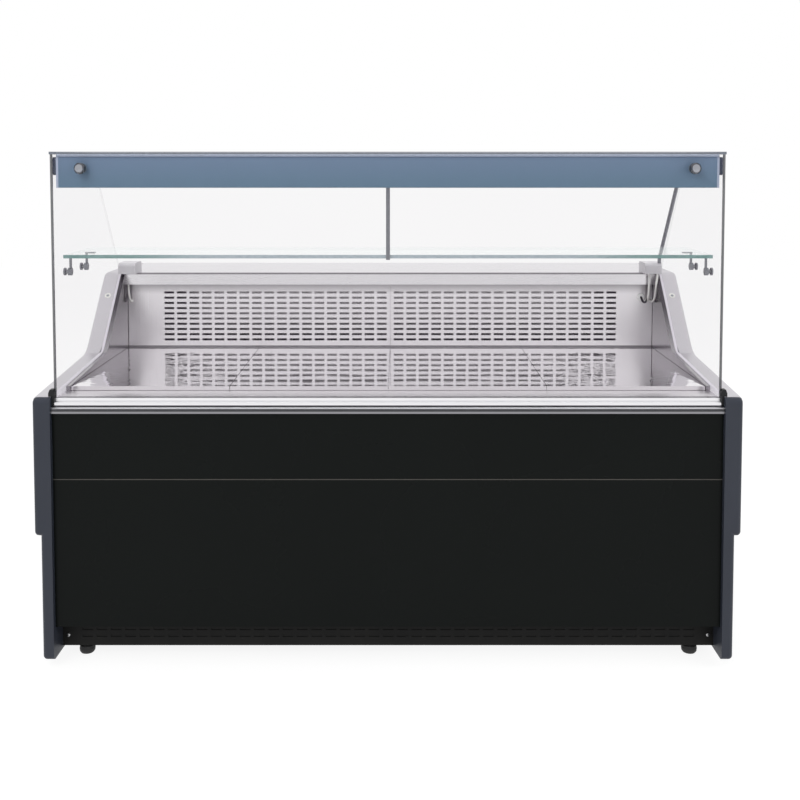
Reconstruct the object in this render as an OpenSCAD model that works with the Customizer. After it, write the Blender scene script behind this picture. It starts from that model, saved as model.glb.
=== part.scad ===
// Refrigerated serve-over deli case with an upright tilting front glass, on levelling feet.
// Millimetres. X runs along the case, Y from the customer's side to the server's side, Z up from the floor.

/* [Overall] */
// Length between the end panels
inner_len = 1500; // [1200:50:2200]
// Depth over the end panels
depth = 900; // [860:10:1000]
// Height from the floor to the top glass
height = 1160; // [1100:10:1260]

/* [End panels] */
// Thickness of the upper part
end_t = 40; // [32:1:60]
// Thickness of the leg below the step
leg_t = 26; // [16:1:30]
// Height of the panel's lower edge
end_bottom_z = 18; // [10:1:30]
// Height of the step between the thick part and the leg
end_step_z = 302; // [200:5:400]
// Height of the front top corner
end_front_z = 614; // [608:1:622]
// Distance from the front to the knee
knee_d = 408; // [340:5:440]
// Height of the knee
knee_z = 644; // [636:1:665]
// Gap between the top of the slope and the worktop's nose
slope_gap = 5; // [4:0.5:10]
// Rounding of the outer edge
end_edge_r = 9; // [3:0.5:12]

/* [Worktop] */
// Height of the worktop
worktop_z = 832; // [820:1:850]
// Depth of the worktop
worktop_d = 297; // [290:1:299]
// Height of its folded nose
nose_h = 33; // [25:1:40]
// Thickness of the stainless sheet
sheet_t = 1.5; // [1:0.1:2]

/* [Glass] */
// Thickness of the front, side and top glass
glass_t = 6; // [5:0.5:8]
// Distance from the end panels' front to the front glass
glass_set = 25; // [22:1:30]
// Depth of the top glass
top_glass_d = 320; // [260:5:360]
// How far the side glass reaches below the edge of the end panel
glass_seat = 30; // [20:1:32]
// Radius of the pivot pins at the foot of the front glass
pivot_r = 4; // [3:0.25:4.25]

/* [Shelf] */
// Thickness of the shelf glass
shelf_t = 8; // [6:1:10]
// Height of its underside
shelf_z = 918; // [895:1:960]
// Depth of the shelf
shelf_d = 226; // [180:2:260]
// Gap between the front glass and the shelf
shelf_gap = 52; // [46:1:60]
// Distance between a side's two brackets
bracket_span = 127; // [90:1:140]

/* [Lamp canopy] */
// Height of the canopy behind the front glass
canopy_h = 74; // [60:1:90]
// Depth of the canopy
canopy_d = 70; // [66:1:90]
// Distance from the end panel's inner face to a knob
knob_in = 72; // [45:1:90]
// Radius of a knob
knob_r = 12.5; // [11:0.5:18]

/* [Front] */
// Height of the underside of the aluminium rail
rail_z = 578; // [570:1:582]
// Height of the rail
rail_h = 13.5; // [11:0.5:16]
// Height of the seam between the two front panels
seam_z = 428; // [400:1:460]
// Width of that seam
seam_gap = 1.5; // [1:0.5:4]
// Height of the lower panel's foot
panel_bottom_z = 90; // [86:1:116]
// Distance from the end panels' front to the black panels
panel_set = 14; // [10:1:18]
// Distance from the end panels' front to the kick plate
kick_set = 64; // [50:1:80]
// Height of the kick plate's lower edge
kick_z = 24; // [20:1:36]

/* [Tub] */
// Insulation in the front wall
foam_front = 68; // [50:1:72]
// Insulation in the rear wall
foam_rear = 40; // [36:1:55]
// Insulation in the floor
foam_floor = 52; // [40:1:65]
// Thickness of the inner end walls beside the glass
wall_t = 10; // [6:1:16]

/* [Deck and back] */
// Height of the deck trays
deck_z = 620; // [617:1:628]
// Height of a deck tray's folded edge
tray_flange = 12; // [8:1:16]
// Distance from the worktop's nose to the back panels
back_set = 25; // [18:1:40]
// Length of an air slot
slot_w = 27; // [20:1:30]
// Height of an air slot
slot_h = 6; // [4:0.5:8]
// Distance from slot to slot along a row
slot_pitch = 35; // [33:0.5:40]
// Distance from row to row
row_pitch = 14.7; // [12:0.1:15.5]

/* [Base] */
// Width of the square base tubes
tube_w = 40; // [30:1:45]
// Radius of a levelling foot
foot_r = 18; // [14:1:24]
// Radius of its threaded stem
stem_r = 5; // [4:0.5:6]

/* [Machinery] */
// Radius of an evaporator fan
fan_r = 50; // [40:1:52]
// Radius of the condenser fan
cfan_r = 105; // [80:1:110]
// Radius of the fan shafts
shaft_r = 4; // [3:0.25:5]

/* [Clearances] */
// Between pieces that are set side by side
fit = 0.2; // [0.1:0.05:0.3]
// Radial clearance of a pin that turns in its bore
run_fit = 0.05; // [0.02:0.01:0.1]
// Between the moving front glass and what is fixed
swing_gap = 1; // [0.6:0.1:2]

/* [Hidden] */
$fn = 48;

// Shell faces
hx = inner_len / 2;
yf = -depth / 2;
yr = depth / 2;
panel_y = yf + panel_set;
panel_fold = 16;
kick_y = yf + kick_set;

// Worktop and the outline of an end panel, seen from its side as [y, z]
wt_y = yr - worktop_d;
wt_under = worktop_z - sheet_t;
nose_z = worktop_z - nose_h;
slope_y = wt_y - slope_gap;
front_corner = [yf, end_front_z];
knee = [yf + knee_d, knee_z];
slope_top = [slope_y, worktop_z];
end_corners = [[yf, end_bottom_z], [yr, end_bottom_z], [yr, worktop_z], slope_top, knee, front_corner];
end_radii = [10, 10, 16, 30, 60, 14];

// Glass planes
glass_y0 = yf + glass_set;
glass_y1 = glass_y0 + glass_t;
still_y = glass_y1 + swing_gap;
top_z = height - glass_t;
side_x1 = hx - fit;
side_x0 = side_x1 - glass_t;
inner_x1 = side_x0 - fit;
inner_x = inner_x1 - wall_t;
side_end_y = wt_y - slope_gap - 2;
front_hx = inner_x1;

// Tilting foot of the front glass
channel_wall = 3;
bead_r = pivot_r + 1;
channel_z0 = rail_z + rail_h + swing_gap;
channel_z1 = channel_z0 + 17.5;
axis_y = glass_y0 - bead_r - 2;
axis_z = channel_z0 + bead_r + 0.5;
cap_t = glass_t - fit;
cap_h = 38;
pin_l = 4;
rail_y = glass_y1 + channel_wall + bead_r;

// Tub
tub_y0 = panel_y + panel_fold;
tub_y1 = yr - 10;
tub_z0 = seam_z - seam_gap / 2;
well_y0 = tub_y0 + foam_front;
well_y1 = tub_y1 - foam_rear;
well_z0 = tub_z0 + foam_floor;
floor_z = well_z0 + sheet_t;
ledge_y1 = well_y0 + sheet_t;
drain_r = 16;
spigot_r = drain_r - 2;
drain_l = 66;
drain_x = -250;

// Deck and back
deck_bar_d = 25;
tray_gap = 1;
tray_y0 = ledge_y1 + 2.5;
back_y = wt_y + back_set;
tray_y1 = back_y - 3;
tray_w = (2 * inner_x - 5 * tray_gap) / 4;
tray_foot = deck_z - tray_flange - fit;
fan_y = wt_y - 3;
fan_x = inner_len / 4;
fan_z = (floor_z + tray_foot) / 2;
slot_margin = 12;
end_plain = 90;

// Lamp canopy and shelf
canopy_z = top_z - canopy_h;
canopy_y1 = still_y + canopy_d;
block_t = 7;
canopy_hx = inner_x1 - block_t;
knob_x = hx - knob_in;
knob_z = top_z - canopy_h * 0.42;
stud_r = 4;
stud_reach = 12;
bush_r = 8;
shelf_y0 = glass_y1 + shelf_gap;
shelf_y1 = shelf_y0 + shelf_d;
shelf_hx = inner_x1 - 3.6;
bracket_z = shelf_z - 35;
bracket_ys = [for (s = [-1, 1]) (shelf_y0 + shelf_y1 + s * bracket_span) / 2];
bolt_r = 5;
conduit_r = 5;
conduit_x = inner_x1 - conduit_r - fit;
glass_block_h = 30;
glass_block_w = 46;
glass_block_rear = 37;
glass_block_front = 30;
bracket_pad = 22;
bracket_r = 9;

// Base and machinery
foot_h = 40;
tube_t = 3;
rail_top = foot_h + tube_w;
front_base_y = kick_y + sheet_t;
rear_base_y = tub_y1 - 6 - tube_w;
foot_x = hx - 50;
plate_t = 3;
plate_top = rail_top + plate_t;
coil_x = 420;
coil_y = front_base_y + tube_w + 30;
coil_d = 60;
coil_h = 250;
coil_l = 440;
fin_t = 2;
comp_r = 82;
comp_h = 172;
cfan_y = coil_y + coil_d + 30;
cfan_z = plate_top + coil_h / 2;

// Controls, on the server's side
ctrl_x = hx - 210;
ctrl_z = nose_z - 75;
ctrl_w = 170;
ctrl_h = 62;
ctrl_y = yr - 3;
ctrl_depth = 32;
key_w = 14;
key_h = 9;
key_travel = 1.5;
rocker_r = 8;
rocker_w = 18;
rocker_y = ctrl_y - 6.5;

function unit(v) = v / norm(v);
function at_y(a, b, y) = a[1] + (b[1] - a[1]) * (y - a[0]) / (b[0] - a[0]);

// Outline moved inwards by d, each corner on its mitre; the points run anticlockwise
function inset(p, d) = let (n = len(p)) [
    for (i = [0 : n - 1])
        let (u = unit(p[i] - p[(i + n - 1) % n]), v = unit(p[(i + 1) % n] - p[i]),
             a = [-u[1], u[0]], b = [-v[1], v[0]])
        p[i] + (a + b) * d / (1 + a * b)
];

// Arc of radius r that rounds the corner b between a and c
function arc(a, b, c, r, n = 6) =
    let (u = unit(a - b), v = unit(c - b), half = acos(u * v) / 2,
         o = b + unit(u + v) * r / sin(half),
         p = b + u * r / tan(half) - o, q = b + v * r / tan(half) - o,
         turn = sign(p[0] * q[1] - p[1] * q[0]) * (180 - 2 * half),
         start = atan2(p[1], p[0]))
    [for (i = [0 : n]) o + r * [cos(start + turn * i / n), sin(start + turn * i / n)]];

function rounded(p, radii) = let (n = len(p)) [
    for (i = [0 : n - 1])
        each radii[i] == 0 ? [p[i]] : arc(p[(i + n - 1) % n], p[i], p[(i + 1) % n], radii[i])
];

module bar(x, y, z) {
    translate([x[0], y[0], z[0]]) cube([x[1] - x[0], y[1] - y[0], z[1] - z[0]]);
}
module along_x(x0, x1) {
    translate([x0, 0, 0]) rotate([90, 0, 90]) linear_extrude(x1 - x0) children();
}
module both_sides() {
    children();
    mirror([1, 0, 0]) children();
}
module rod_x(x0, x1, y, z, r) {
    translate([x0, y, z]) rotate([0, 90, 0]) cylinder(h = x1 - x0, r = r);
}
module rod_y(x, y0, y1, z, r) {
    translate([x, y0, z]) rotate([-90, 0, 0]) cylinder(h = y1 - y0, r = r);
}

// Skin over a stack of like outlines, each given as [x, points]; both ends are fanned round the hub
module loft(layers, hub) {
    n = len(layers[0][1]);
    m = len(layers);
    polyhedron(
        concat([for (l = layers) each [for (p = l[1]) [l[0], p[0], p[1]]]],
            [for (l = [layers[0], layers[m - 1]]) [l[0], hub[0], hub[1]]]),
        concat([for (i = [0 : n - 1]) [i, (i + 1) % n, m * n]],
            [for (i = [0 : n - 1]) [(m - 1) * n + (i + 1) % n, (m - 1) * n + i, m * n + 1]],
            [for (k = [0 : m - 2], i = [0 : n - 1]) each [
                [k * n + i, (k + 1) * n + (i + 1) % n, k * n + (i + 1) % n],
                [k * n + i, (k + 1) * n + i, (k + 1) * n + (i + 1) % n]]]));
}

// Moulded plate whose outer edge is rolled over by radius r
module moulding(outline, hub, t, r, steps = 5) {
    loft(concat([[0, outline]], [
        for (i = [0 : steps]) let (a = 90 * i / steps)
            [t - r + r * sin(a), inset(outline, r * (1 - cos(a)))]
    ]), hub);
}

// Sheet folded back at its top and foot, face towards the customer
module folded_front(z0, z1, foot_y, top_y) {
    along_x(-hx + fit, hx - fit) polygon([
        [panel_y, z0], [foot_y, z0], [foot_y, z0 + sheet_t], [panel_y + sheet_t, z0 + sheet_t],
        [panel_y + sheet_t, z1 - sheet_t], [top_y, z1 - sheet_t], [top_y, z1], [panel_y, z1]]);
}

// Cut for one slot through a sheet whose face is at y
module air_slot(x, y, z, w, h) {
    bar([x - w / 2, x + w / 2], [y - 1, y + sheet_t + 1], [z - h / 2, z + h / 2]);
}

// Fan wheel on the Z axis, from z = 0
module fan_wheel(r, hub_r, hub_h, blades) {
    difference() {
        union() {
            cylinder(h = hub_h, r = hub_r);
            for (i = [0 : blades - 1]) rotate([0, 0, 360 * i / blades]) intersection() {
                translate([0, 0, hub_h / 2]) rotate([32, 0, 0])
                    translate([hub_r * 0.8, -r * 0.3, -0.75]) cube([r, r * 0.6, 1.5]);
                cylinder(h = hub_h, r = r);
            }
        }
        translate([0, 0, -1]) cylinder(h = hub_h + 2, r = shaft_r + run_fit);
    }
}

// Block of thin fins on a core, as a comb outline along X
module fin_block(length, d, core, pitch, fin, h) {
    count = floor(length / pitch);
    side = [for (i = [0 : count - 1]) each
        [[i * pitch, core / 2], [i * pitch, d / 2], [i * pitch + fin, d / 2], [i * pitch + fin, core / 2]]];
    last = len(side) - 1;
    linear_extrude(h) polygon(concat(
        [for (p = side) [p[0], -p[1]]], [for (i = [0 : last]) side[last - i]]));
}

// Tube swept along a route
module swept(route, r, sides = 8) {
    n = len(route);
    rings = [for (i = [0 : n - 1])
        let (t = unit(route[min(i + 1, n - 1)] - route[max(i - 1, 0)]),
             a = unit(cross(t, [1, 0, 0])), b = cross(t, a))
        for (k = [0 : sides - 1]) route[i] + r * (a * cos(360 * k / sides) + b * sin(360 * k / sides))];
    polyhedron(rings, concat([[for (k = [0 : sides - 1]) k]],
        [[for (k = [0 : sides - 1]) n * sides - 1 - k]],
        [for (i = [0 : n - 2], k = [0 : sides - 1]) each [
            [i * sides + k, (i + 1) * sides + (k + 1) % sides, i * sides + (k + 1) % sides],
            [i * sides + k, (i + 1) * sides + k, (i + 1) * sides + (k + 1) % sides]]]));
}

// Moulded end of the case: a thick shell above, a thinner leg below
module end_panel() {
    upper = rounded([[yf, end_step_z], [yr, end_step_z], [yr, worktop_z], slope_top, knee, front_corner],
        end_radii);
    leg = rounded([[yf, end_bottom_z], [yr, end_bottom_z], [yr, end_front_z - 40], [yf, end_front_z - 40]],
        [10, 10, 0, 0]);
    color("dimgray") difference() {
        translate([hx, 0, 0]) union() {
            moulding(upper, [knee[0] + 150, end_step_z + 100], end_t, end_edge_r);
            moulding(leg, [0, end_step_z], leg_t, end_edge_r);
        }
        bush_block(fit);
    }
}
module left_end_panel() {
    mirror([1, 0, 0]) end_panel();
}
module right_end_panel() {
    end_panel();
}

// Pivot bushes let into the ends, and the caps on the glass channel, share one hexagonal outline
cap_z0 = channel_z0;
cap_z1 = cap_z0 + cap_h;
cap_y0 = axis_y - bead_r;
cap_y1 = glass_y1 - 2;
module half_hexagon(t, grow) {
    polygon([[0, cap_z0 - grow], [t * 0.55, cap_z0 - grow], [t + grow, cap_z0 + 8], [t + grow, cap_z1 - 8],
        [t * 0.55, cap_z1 + grow], [0, cap_z1 + grow]]);
}
module bush_block(grow) {
    translate([hx, cap_y1 + grow, 0]) rotate([90, 0, 0])
        linear_extrude(cap_y1 - cap_y0 + 2 * grow) half_hexagon(glass_t + 1, grow);
}
module pivot_bushes() {
    color("black") both_sides() difference() {
        bush_block(0);
        rod_x(hx - 1, hx + pin_l + fit, axis_y, axis_z, pivot_r + run_fit);
    }
}

// Foam-filled trough with its painted outer skin
module insulated_tub() {
    color("gainsboro") difference() {
        along_x(-hx + fit, hx - fit) polygon([
            [tub_y0, tub_z0], [tub_y1, tub_z0], [tub_y1, wt_under], [well_y1, wt_under],
            [well_y1, well_z0], [well_y0, well_z0], [well_y0, rail_z], [tub_y0, rail_z]]);
        translate([drain_x, 0, tub_z0 - 1]) cylinder(h = foam_floor + 2, r = drain_r + fit);
        control_space(fit);
    }
}
module control_space(grow) {
    bar([ctrl_x - ctrl_w / 2 - grow, ctrl_x + ctrl_w / 2 + grow], [ctrl_y - ctrl_depth - grow, ctrl_y],
        [ctrl_z - ctrl_h / 2 - grow, ctrl_z + ctrl_h / 2 + grow]);
}

// Stainless lining of the trough
module tub_liner() {
    color("lightgray") difference() {
        along_x(-hx + fit, hx - fit) polygon([
            [well_y0, well_z0], [well_y1, well_z0], [well_y1, wt_under], [well_y1 - sheet_t, wt_under],
            [well_y1 - sheet_t, floor_z], [ledge_y1, floor_z], [ledge_y1, rail_z], [well_y0, rail_z]]);
        translate([drain_x, 0, well_z0 - 1]) cylinder(h = sheet_t + 2, r = drain_r + fit);
    }
}

// Stainless inner walls; the side glass stands in the step along their outer face
module inner_end_walls() {
    y0 = ledge_y1 + fit;
    y1 = well_y1 - sheet_t - fit;
    top = nose_z - fit;
    step = inset(end_corners, glass_seat + fit);
    face = [[y0, floor_z], [y1, floor_z], [y1, top], [wt_y - fit, top], [wt_y - fit, worktop_z], slope_top,
        knee, [y0, at_y(front_corner, knee, y0)]];
    back = [[y0, floor_z], [y1, floor_z], [y1, top], [side_end_y + fit, top],
        [side_end_y + fit, at_y(step[4], step[3], side_end_y + fit)], step[4],
        [y0, at_y(step[5], step[4], y0)]];
    // hollow behind, like a folded pan with a deep rim
    color("silver") both_sides() difference() {
        union() {
            along_x(inner_x, inner_x1) polygon(rounded(face, [0, 0, 0, 0, 0, 0, 60, 0]));
            along_x(inner_x1, side_x1) polygon(rounded(back, [0, 0, 0, 0, 0, 60, 0]));
        }
        along_x(inner_x + 2, side_x1 + 1) polygon(inset(back, 2 * wall_t));
    }
}

module upper_front_panel() {
    color([0.1, 0.1, 0.1]) folded_front(seam_z + seam_gap / 2, rail_z, tub_y0, tub_y0);
}
module lower_front_panel() {
    color([0.1, 0.1, 0.1]) folded_front(panel_bottom_z, tub_z0, kick_y, tub_y0 + panel_fold);
}

// Slotted plinth between the ends
module kick_plate() {
    slots = floor((inner_len - 60) / 33);
    color([0.12, 0.12, 0.12]) difference() {
        bar([-hx + fit, hx - fit], [kick_y, kick_y + sheet_t], [kick_z, panel_bottom_z + 14]);
        for (i = [0 : slots - 1], k = [0, 1])
            air_slot((i - (slots - 1) / 2) * 33, kick_y, kick_z + 23 + 16 * k, 24, 6);
    }
}

// Aluminium rail with a groove along its face
module front_rail() {
    nose = panel_y - 8;
    color("lightgray") along_x(-hx + fit, hx - fit) polygon([
        [nose, rail_z], [rail_y, rail_z], [rail_y, rail_z + rail_h], [nose + 5, rail_z + rail_h],
        [nose + 2, rail_z + rail_h - 2], [nose + 2, rail_z + rail_h * 0.78],
        [nose + 10, rail_z + rail_h * 0.78],
        [nose + 10, rail_z + rail_h * 0.37], [nose, rail_z + rail_h * 0.37]]);
}

// Stainless ledge behind the glass, standing on the tub's front wall
module front_ledge() {
    color("silver") along_x(-inner_x1, inner_x1) polygon([
        [rail_y + fit, rail_z], [rail_y + fit + sheet_t, rail_z],
        [rail_y + fit + sheet_t, channel_z1 - sheet_t],
        [well_y0, channel_z1 - sheet_t], [well_y0, rail_z], [ledge_y1, rail_z],
        [ledge_y1, channel_z1], [rail_y + fit, channel_z1]]);
}

// Side glasses, standing between the end panels and the inner walls
module side_glasses() {
    seat = inset(end_corners, glass_seat);
    back = rail_y + fit;
    toe = at_y(seat[5], seat[4], back);
    heel = max(toe, rail_z + rail_h + fit);
    outline = [[still_y, heel], [back, heel], [back, toe - 0.01], seat[4],
        [side_end_y, at_y(seat[4], seat[3], side_end_y)], [side_end_y, worktop_z + 4],
        [glass_y0 + top_glass_d, top_z], [still_y, top_z]];
    color("lightcyan", 0.35) both_sides() difference() {
        along_x(side_x0, side_x1) polygon(rounded(outline, [0, 0, 0, 60, 0, 8, 0, 0]));
        for (y = bracket_ys) rod_x(side_x0 - 1, side_x1 + 1, y, bracket_z, bolt_r);
    }
}
module top_glass() {
    color("lightcyan", 0.35)
        bar([-side_x1, side_x1], [glass_y0, glass_y0 + top_glass_d], [top_z, height]);
}

// Aluminium lamp housing behind the top of the front glass
led_y = still_y + canopy_d * 0.72;
led_w = 18;
led_h = 8;
module lamp_canopy() {
    color("slategray") difference() {
        along_x(-canopy_hx, canopy_hx) polygon(rounded([
            [still_y, canopy_z], [canopy_y1, canopy_z], [canopy_y1, top_z], [still_y + 5, top_z],
            [still_y + 1.5, top_z - 2], [still_y + 1.5, top_z - 7], [still_y, top_z - 8]],
            [2, 12, 3, 0, 0, 0, 0]));
        bar([-canopy_hx - 1, canopy_hx + 1], [led_y - led_w / 2, led_y + led_w / 2],
            [canopy_z - 1, canopy_z + led_h]);
        bar([-canopy_hx - 1, canopy_hx + 1], [still_y + 4, canopy_y1 - 3], [canopy_z + led_h + 3, top_z - 3]);
        for (s = [-1, 1]) rod_y(s * knob_x, still_y - 1, still_y + stud_reach + 2, knob_z, stud_r + 1);
    }
}
module canopy_blocks() {
    foot = canopy_z + canopy_h * 0.38;
    head = canopy_z + canopy_h * 0.92;
    color("darkslategray") both_sides() along_x(canopy_hx, inner_x1) polygon(rounded([
        [still_y, foot], [canopy_y1, foot], [canopy_y1, head], [still_y, head]], [4, 4, 4, 4]));
}
module led_bar() {
    color("white")
        bar([-canopy_hx, canopy_hx], [led_y - led_w / 2, led_y + led_w / 2],
            [canopy_z + 2, canopy_z + led_h]);
}

module shelf_glass() {
    color("lightcyan", 0.35)
        bar([-shelf_hx, shelf_hx], [shelf_y0, shelf_y1], [shelf_z, shelf_z + shelf_t]);
}
// Each bracket is bolted through a side glass and lifts a pad under the shelf
module shelf_brackets() {
    pad_x = shelf_hx - bracket_pad;
    color("silver") both_sides() for (y = bracket_ys) union() {
        rod_x(inner_x1 - 8, side_x0, y, bracket_z, bracket_r);
        rod_x(side_x0 - 1, side_x1 + 1, y, bracket_z, bolt_r - fit);
        rod_x(side_x1, side_x1 + 4, y, bracket_z, bracket_r);
        bar([inner_x1 - 7, inner_x1 - 3], [y - 4, y + 4], [bracket_z, shelf_z]);
        bar([pad_x, inner_x1 - 3], [y - 6, y + 6], [shelf_z - 3, shelf_z]);
    }
}
// Flat bar from the canopy to the shelf's front edge, hooked under the glass
module shelf_hanger() {
    front = shelf_y0 - fit;
    color("gray") union() {
        bar([-4.5, 4.5], [front - 4, front], [shelf_z - 3, canopy_z]);
        bar([-4.5, 4.5], [front - 4, front + 22], [shelf_z - 3, shelf_z]);
    }
}

// Folded stainless worktop with its nose
module worktop() {
    color("silver") along_x(-hx + fit, hx - fit) polygon([
        [wt_y, nose_z], [wt_y + 12, nose_z], [wt_y + 12, nose_z + sheet_t],
        [wt_y + sheet_t, nose_z + sheet_t],
        [wt_y + sheet_t, wt_under], [yr - sheet_t, wt_under], [yr - sheet_t, nose_z], [yr, nose_z],
        [yr, worktop_z - 2], [yr - 2, worktop_z], [wt_y + 2, worktop_z], [wt_y, worktop_z - 2]]);
}
// Blocks on the worktop that hold the rear corners of the side glasses
module glass_blocks() {
    front = side_end_y - glass_block_front;
    rear = wt_y + glass_block_rear;
    head = worktop_z + glass_block_h;
    color("darkgray") both_sides() along_x(inner_x1 - glass_block_w, inner_x1) polygon(rounded([
        [front, worktop_z], [rear, worktop_z], [rear, head], [front, head]], [0, 0, 10, 10]));
}

// Slotted air outlet panels, hung from the worktop
module back_panels() {
    cols = floor((inner_x - end_plain - slot_margin / 2) / slot_pitch);
    rows = floor((nose_z - deck_z - 45) / row_pitch) + 1;
    color("silver") both_sides() difference() {
        bar([0.5, inner_x - 1], [back_y, back_y + sheet_t], [deck_z + 5, wt_under]);
        for (i = [0 : cols - 1], k = [0 : rows - 1])
            air_slot(slot_margin / 2 + slot_pitch * (i + 0.5), back_y, nose_z - 25 - k * row_pitch,
                slot_w, slot_h);
    }
}

// Deck: a bar at the front and the fan plate at the rear carry four trays
module deck_bar() {
    rear = tray_y0 + deck_bar_d;
    color("silver") along_x(-inner_x + 1, inner_x - 1) polygon([
        [tray_y0, floor_z], [rear, floor_z], [rear, floor_z + sheet_t],
        [tray_y0 + sheet_t, floor_z + sheet_t], [tray_y0 + sheet_t, tray_foot - sheet_t],
        [rear, tray_foot - sheet_t], [rear, tray_foot], [tray_y0, tray_foot]]);
}
module fan_plate() {
    color("silver") difference() {
        along_x(-inner_x + 1, inner_x - 1) polygon([
            [fan_y, floor_z], [tray_y1, floor_z], [tray_y1, floor_z + sheet_t],
            [fan_y + sheet_t, floor_z + sheet_t],
            [fan_y + sheet_t, tray_foot - sheet_t], [tray_y1, tray_foot - sheet_t], [tray_y1, tray_foot],
            [fan_y, tray_foot]]);
        for (s = [-1, 1]) rod_y(s * fan_x, fan_y - 1, fan_y + sheet_t + 1, fan_z, fan_r + 4);
    }
}
module deck_tray(i) {
    x0 = -inner_x + tray_gap + i * (tray_w + tray_gap);
    color("gainsboro") difference() {
        bar([x0, x0 + tray_w], [tray_y0, tray_y1], [deck_z - tray_flange, deck_z]);
        bar([x0 + sheet_t, x0 + tray_w - sheet_t], [tray_y0 + sheet_t, tray_y1 - sheet_t],
            [deck_z - tray_flange - 1, deck_z - sheet_t]);
    }
}
module fan_motors() {
    r = fan_r * 0.48;
    rear = fan_y + fan_r * 0.4;
    color("dimgray") for (s = [-1, 1]) union() {
        rod_y(s * fan_x, rear - 2, rear + fan_r * 0.8, fan_z, r);
        rod_y(s * fan_x, fan_y - fan_r * 0.24, rear, fan_z, shaft_r);
        for (a = [90, 210, 330]) translate([s * fan_x, 0, fan_z]) rotate([0, a, 0]) {
            bar([r * 0.5, fan_r * 1.2], [rear, rear + 3], [-4, 4]);
            bar([fan_r * 1.12, fan_r * 1.2], [fan_y + sheet_t, rear + 3], [-4, 4]);
        }
    }
}
module fan_at(s) {
    color("black") translate([s * fan_x, fan_y + fan_r * 0.24, fan_z]) rotate([90, 0, 0])
        fan_wheel(fan_r, fan_r * 0.32, fan_r * 0.44, 5);
}
module left_fan() {
    fan_at(-1);
}
module right_fan() {
    fan_at(1);
}
module evaporator() {
    length = inner_len * 0.8;
    d = (well_y1 - back_y) / 2;
    tall = well_z0 - tub_z0 + 2 * d * 0.45;
    color("silver") translate([-length / 2, (back_y + well_y1) / 2 + d * 0.18, floor_z]) union() {
        fin_block(length, d, d * 0.25, d / 7, fin_t, tall);
        for (k = [0 : 3]) translate([-d * 0.28, -d * 0.1, tall * (0.16 + 0.22 * k)]) rotate([0, 90, 0])
            cylinder(h = d * 0.3, r = d * 0.055);
    }
}

// Square-tube base: posts under the tub, long rails, crossbars and the machine plate
module square_tube(length) {
    linear_extrude(length) difference() {
        square(tube_w, center = true);
        square(tube_w - 2 * tube_t, center = true);
    }
}
module base_legs() {
    color("dimgray") for (s = [-1, 1], y = [front_base_y, rear_base_y])
        translate([s * (hx - fit - tube_w / 2), y + tube_w / 2, rail_top]) square_tube(tub_z0 - rail_top);
}
module base_rails() {
    // each foot screws into a boss that crosses the rail
    color("dimgray") for (y = [front_base_y, rear_base_y]) difference() {
        union() {
            translate([-hx + fit, y + tube_w / 2, foot_h + tube_w / 2]) rotate([0, 90, 0])
                square_tube(2 * (hx - fit));
            for (x = [-foot_x, foot_x]) translate([x, y + tube_w / 2, foot_h + 1])
                cylinder(h = tube_w - 2, r = 2 * stem_r);
        }
        for (x = [-foot_x, foot_x]) translate([x, y + tube_w / 2, foot_h - 1])
            cylinder(h = tube_w - 4, r = stem_r + run_fit);
    }
}
module base_crossbars() {
    color("dimgray") for (x = [-1, 0, 1] * (hx - fit - tube_w / 2))
        translate([x, front_base_y + tube_w, foot_h + tube_w / 2]) rotate([-90, 0, 0])
            square_tube(rear_base_y - front_base_y - tube_w);
}
module unit_plate() {
    color("gray") bar([-tube_w / 2, hx - fit - tube_w], [front_base_y + tube_w, rear_base_y],
        [rail_top, plate_top]);
}
module compressor() {
    foot = comp_r * 1.95;
    color([0.15, 0.15, 0.15]) translate([coil_x - 0.73 * comp_r, rear_base_y - 2.3 * comp_r, plate_top])
        union() {
        translate([-foot / 2, -foot / 2, 0]) cube([foot, foot, 2 * plate_t]);
        rotate_extrude() polygon([[0, plate_t], [0.8 * comp_r, plate_t], [comp_r, 0.17 * comp_h],
            [comp_r, 0.61 * comp_h], [0.9 * comp_r, 0.81 * comp_h], [0.58 * comp_r, 0.96 * comp_h],
            [0, comp_h]]);
        for (s = [-1, 1]) translate([s * 0.37 * comp_r, 0, 0.87 * comp_h])
            cylinder(h = 0.24 * comp_h, r = conduit_r);
    }
}
module condenser() {
    color("silver") translate([coil_x - coil_l / 2, coil_y + coil_d / 2, plate_top])
        fin_block(coil_l, coil_d, coil_d * 0.3, coil_d / 5, fin_t, coil_h);
}
module condenser_motor() {
    r = cfan_r * 0.3;
    color("dimgray") union() {
        rod_y(coil_x, cfan_y + r * 0.65, cfan_y + r * 2.4, cfan_z, r);
        rod_y(coil_x, cfan_y - r * 0.5, cfan_y + r * 0.7, cfan_z, shaft_r);
        bar([coil_x - r * 0.63, coil_x + r * 0.63], [cfan_y + r * 1.1, cfan_y + r * 1.9],
            [plate_top, cfan_z - r * 0.6]);
    }
}
module condenser_fan() {
    color("black") translate([coil_x, cfan_y + 14, cfan_z]) rotate([90, 0, 0])
        fan_wheel(cfan_r, cfan_r * 0.23, cfan_r * 0.27, 5);
}

// Drain spigot through the tub's floor, stepped down to take a hose
module drain_pipe() {
    foot = tub_z0 - drain_l;
    color("white") translate([drain_x, 0, 0]) difference() {
        rotate_extrude() polygon([[0, foot], [spigot_r, foot], [spigot_r, tub_z0 - 14],
            [drain_r, tub_z0 - 6],
            [drain_r, floor_z], [drain_r * 1.5, floor_z], [drain_r * 1.5, floor_z + 3], [0, floor_z + 3]]);
        translate([0, 0, foot - 1]) cylinder(h = drain_l + foam_floor + 10, r = spigot_r - 3);
    }
}

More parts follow.
